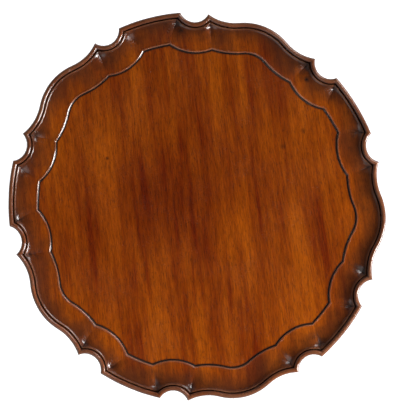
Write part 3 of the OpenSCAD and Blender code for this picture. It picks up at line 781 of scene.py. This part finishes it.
class Legs(bpy.types.Operator):
    """Shape the three cabriole legs and their pad feet"""

    bl_idname = "tea_table.legs"
    bl_label = "Cabriole legs"

    def execute(self, context):
        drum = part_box("pillar")[0].z
        for number, angle in enumerate(LEG_ANGLES, 1):
            bm = bmesh.new()
            self.shape_leg(bm, drum)
            self.shape_foot(bm)
            bmesh.ops.recalc_face_normals(bm, faces=bm.faces[:])
            bmesh.ops.rotate(bm, verts=bm.verts[:], cent=(0, 0, 0),
                             matrix=Matrix.Rotation(math.radians(angle), 3, "Z"))
            turn = Matrix.Rotation(math.radians(-48), 3, "Y")
            spin = Matrix.Rotation(math.radians(-angle), 3, "Z")
            grain = (Matrix.Rotation(QUARTER, 3, "Z") @ turn @ spin).to_euler()
            wood = base_wood(f"Leg mahogany {number}", grain, shift=(number * 0.7, 0, 0))
            finish_piece(bm, f"cabriole_leg_{number}", "stand", [f"leg_{number}"], wood)
        return {"FINISHED"}

    def shape_leg(self, bm, drum):
        """Sweeps the leg's sections from its root in the pillar to its foot."""
        size = sizes()
        count = size.leg_sections
        rings = [self.section(k / count, drum) for k in range(count + 1)]
        verts, edges = ring_of_edges(bm, rings[0])
        root = edges
        for ring in rings[1:]:
            verts, edges = extrude_ring(bm, verts, edges, ring)
        bmesh.ops.contextual_create(bm, geom=root)
        bmesh.ops.contextual_create(bm, geom=edges)

    def section(self, t, drum):
        """One section across the leg, t of the way from the pillar to the foot."""
        size = sizes()
        reach = size.foot_reach
        join = size.drum_radius - 6 * MM
        top_turn, low_turn = (146 * MM, 112 * MM), (118 * MM, 76 * MM)
        upper = [(join, drum + 95 * MM), (84 * MM, drum + 110 * MM), (112 * MM, 158 * MM), top_turn,
                 (176 * MM, 71 * MM), (190 * MM, 34 * MM), (reach - 12 * MM, 25 * MM)]
        lower = [(join, drum), (74 * MM, drum), (98 * MM, 94 * MM), low_turn,
                 (152 * MM, 45 * MM), (172 * MM, 8 * MM), (reach - 8 * MM, 5 * MM)]
        top, low = self.along(upper, t), self.along(lower, t)
        middle, rise = (top + low) / 2, (top - low) / 2
        half = self.width(t) / 2
        points = []
        for i in range(size.leg_sides):
            angle = 2 * math.pi * i / size.leg_sides
            spot = middle + rise * self.bulge(math.sin(angle))
            points.append((spot.x, half * self.bulge(math.cos(angle)), spot.y))
        return points

    @staticmethod
    def along(points, t):
        """A point on two cubic arcs that share their middle point."""
        start = 0 if t < 0.5 else 3
        a, b, c, d = (Vector(p) for p in points[start:start + 4])
        t = 2 * t if t < 0.5 else 2 * t - 1
        s = 1 - t
        return a * s ** 3 + b * 3 * t * s ** 2 + c * 3 * t ** 2 * s + d * t ** 3

    @staticmethod
    def bulge(value):
        """Squares off a sine or cosine, so that a section is fuller than an ellipse."""
        return math.copysign(abs(value) ** 0.72, value)

    @staticmethod
    def width(t):
        """The leg's width: swelling to the knee, thin at the ankle and spreading into the foot."""
        root, knee, ankle = 29 * MM, 36 * MM, 21 * MM
        foot = 2 * sizes().foot_radius - 20 * MM
        knee_at, ankle_at = 0.3, 0.8
        if t < knee_at:
            return root + (knee - root) * math.sin(t / knee_at * QUARTER)
        if t < ankle_at:
            fall = math.cos((t - knee_at) / (ankle_at - knee_at) * QUARTER)
            return ankle + (knee - ankle) * fall ** 1.3
        return ankle + (foot - ankle) * ((t - ankle_at) / (1 - ankle_at)) ** 1.6

    def shape_foot(self, bm):
        """Adds the pad foot: a thin pad under a round bead that domes over to the ankle."""
        size = sizes()
        bead = 8 * MM
        middle = size.foot_radius - bead
        profile = [(0, 0), (middle - 0.6 * MM, 0), (middle, 0.6 * MM), (middle, 3.4 * MM)]
        bead_steps = 11
        for step in range(1, bead_steps + 1):
            angle = math.radians(-80 + 150 * step / bead_steps)
            profile.append((middle + bead * math.cos(angle), 12 * MM + bead * math.sin(angle)))
        profile += [(14 * MM, 23.4 * MM), (6 * MM, 26 * MM), (0, 26.8 * MM)]
        foot = bmesh.new()
        spin_profile(foot, profile, 64)
        bmesh.ops.translate(foot, verts=foot.verts[:], vec=(size.foot_reach, 0, 0))
        mesh = bpy.data.meshes.new("foot")
        foot.to_mesh(mesh)
        foot.free()
        bm.from_mesh(mesh)
        bpy.data.meshes.remove(mesh)


class Woodwork(bpy.types.Operator):
    """Ease the edges of the battens, birdcage and pillar, and polish them"""

    bl_idname = "tea_table.woodwork"
    bl_label = "Battens, birdcage and pillar"

    def execute(self, context):
        width = sizes().eased_edge
        turned = base_wood("Turned mahogany", GRAIN_ALONG_Z)
        blocks = base_wood("Block mahogany", GRAIN_ALONG_Y, True, (0.3, 0, 0))
        battens = base_wood("Batten mahogany", GRAIN_ALONG_X, True)
        for node in ("batten_left", "batten_right"):
            eased_copy(node, width, battens)
        for node in ("top_block", "bottom_block"):
            eased_copy(node, width, blocks)
        for node in ("pillar", "collar", "baluster_1", "baluster_2", "baluster_3", "baluster_4"):
            eased_copy(node, width * 0.35, turned)
        eased_copy("key", width, base_wood("Key mahogany", GRAIN_ALONG_X, True, (0, 0.4, 0)))
        eased_copy("baluster_wedges", width * 0.2, battens, 1)
        return {"FINISHED"}


class Metalwork(bpy.types.Operator):
    """File the edges of the brass catch and the iron brace, and finish the screws"""

    bl_idname = "tea_table.metalwork"
    bl_label = "Catch, brace and screws"

    def execute(self, context):
        width = sizes().metal_edge
        for node in ("catch_case", "catch_bolt", "keeper_plate"):
            eased_copy(node, width, brass())
        eased_copy("brace_plate", width * 1.5, iron())
        plain = {"catch_screws": brass(), "keeper_screws": brass(), "brace_screws": iron(),
                 "batten_screws": steel(), "catch_spring": steel()}
        for node, material in plain.items():
            part = frame["nodes"][node]
            for slot in part.material_slots:
                slot.material = material
        return {"FINISHED"}


class Stage(bpy.types.Operator):
    """Set the camera above the table, the pale floor and the soft lights"""

    bl_idname = "tea_table.stage"
    bl_label = "Camera, floor and lights"

    def execute(self, context):
        self.camera(context)
        self.floor(context)
        self.lights(context)
        self.world(context)
        return {"FINISHED"}

    def camera(self, context):
        stage = context.scene.tea_table_stage
        data = bpy.data.cameras.new("Camera")
        data.sensor_fit = "VERTICAL"
        data.sensor_height = 36
        data.lens = data.sensor_height * stage.camera_height / stage.view_height
        data.clip_end = 100
        camera = bpy.data.objects.new("Camera", data)
        aside = Matrix.Rotation(stage.turn, 2) @ Vector(stage.aside)
        camera.location = (aside.x, aside.y, BOARD_HIGH.z + stage.camera_height)
        camera.rotation_euler = (0, 0, stage.turn)
        context.scene.collection.objects.link(camera)
        context.scene.camera = camera

    def floor(self, context):
        stage = context.scene.tea_table_stage
        bm = bmesh.new()
        bmesh.ops.create_grid(bm, x_segments=1, y_segments=1, size=stage.floor_width / 2)
        mesh = bpy.data.meshes.new("Floor")
        bm.to_mesh(mesh)
        bm.free()
        material, _, shader = new_material("Pale floor")
        shader.inputs["Base Color"].default_value = (*colours().floor, 1.0)
        shader.inputs["Roughness"].default_value = 0.9
        shader.inputs["Specular IOR Level"].default_value = 0.1
        shader.inputs["Emission Color"].default_value = (1, 1, 1, 1)
        shader.inputs["Emission Strength"].default_value = stage.floor_glow
        mesh.materials.append(material)
        floor = bpy.data.objects.new("Floor", mesh)
        context.scene.collection.objects.link(floor)

    def lights(self, context):
        """Each light: bearing in the picture, elevation, distance, width and power."""
        turn = context.scene.tea_table_stage.turn
        lights = {
            "Key": (-18, 24, 3.0, 1.2, 140),
            "Side": (45, 36, 3.2, 1.4, 38),
            "Fill": (-130, 45, 3.2, 2.2, 14),
        }
        aim = Vector((0, 0, BOARD_HIGH.z * 0.85))
        for name, (bearing, elevation, distance, width, power) in lights.items():
            data = bpy.data.lights.new(name, "AREA")
            data.shape = "DISK"
            data.size = width
            data.energy = power
            lamp = bpy.data.objects.new(name, data)
            flat = polar(math.cos(math.radians(elevation)), math.radians(bearing) + turn)
            toward = Vector((flat.x, flat.y, math.sin(math.radians(elevation))))
            lamp.location = aim + toward * distance
            lamp.rotation_euler = (-toward).to_track_quat("-Z", "Y").to_euler()
            context.scene.collection.objects.link(lamp)

    def world(self, context):
        """A pale room for the camera, and a dimmer one for the light it throws."""
        world = bpy.data.worlds.new("Studio")
        world.use_nodes = True
        tree = world.node_tree
        tree.nodes.clear()
        glow = context.scene.tea_table_stage.floor_glow
        seen = add(tree, "ShaderNodeBackground", {"Color": (1, 1, 1, 1), "Strength": glow})
        upward = add(tree, "ShaderNodeSeparateXYZ",
                     {0: add(tree, "ShaderNodeTexCoord").outputs["Generated"]}).outputs["Z"]
        fade = map_range(tree, upward, 0.15, 0.85, 0.42, 0.03)
        thrown = add(tree, "ShaderNodeBackground", {"Color": (1, 1, 1, 1), "Strength": fade})
        path = add(tree, "ShaderNodeLightPath").outputs["Is Camera Ray"]
        mixed = add(tree, "ShaderNodeMixShader", {0: path, 1: thrown.outputs[0], 2: seen.outputs[0]})
        add(tree, "ShaderNodeOutputWorld", {"Surface": mixed.outputs[0]})
        context.scene.world = world
        context.scene.view_settings.view_transform = "Standard"


class TeaTablePanel(bpy.types.Panel):
    """Lists the table's pieces in the sidebar"""

    bl_idname = "VIEW3D_PT_tea_table"
    bl_label = "Tea Table"
    bl_space_type = "VIEW_3D"
    bl_region_type = "UI"
    bl_category = "Tea Table"

    def draw(self, context):
        for operator in OPERATORS:
            self.layout.operator(operator.bl_idname)
        for group in (context.scene.tea_table_sizes, context.scene.tea_table_colours,
                      context.scene.tea_table_stage):
            box = self.layout.box()
            for name in group.__annotations__:
                box.prop(group, name)


PROPERTY_GROUPS = {"tea_table_sizes": TableSizes, "tea_table_colours": TableColours,
                   "tea_table_stage": StageSettings}
OPERATORS = (TopBoard, Legs, Woodwork, Metalwork, Stage)


def register():
    for group in PROPERTY_GROUPS.values():
        bpy.utils.register_class(group)
    for name, group in PROPERTY_GROUPS.items():
        setattr(bpy.types.Scene, name, PointerProperty(type=group))
    for item in (*OPERATORS, TeaTablePanel):
        bpy.utils.register_class(item)


def unregister():
    for item in reversed((*OPERATORS, TeaTablePanel)):
        bpy.utils.unregister_class(item)
    for name, group in PROPERTY_GROUPS.items():
        delattr(bpy.types.Scene, name)
        bpy.utils.unregister_class(group)


def main():
    register()
    bpy.ops.tea_table.top_board()
    bpy.ops.tea_table.legs()
    bpy.ops.tea_table.woodwork()
    bpy.ops.tea_table.metalwork()
    bpy.ops.tea_table.stage()


if __name__ == "__main__":
    main()
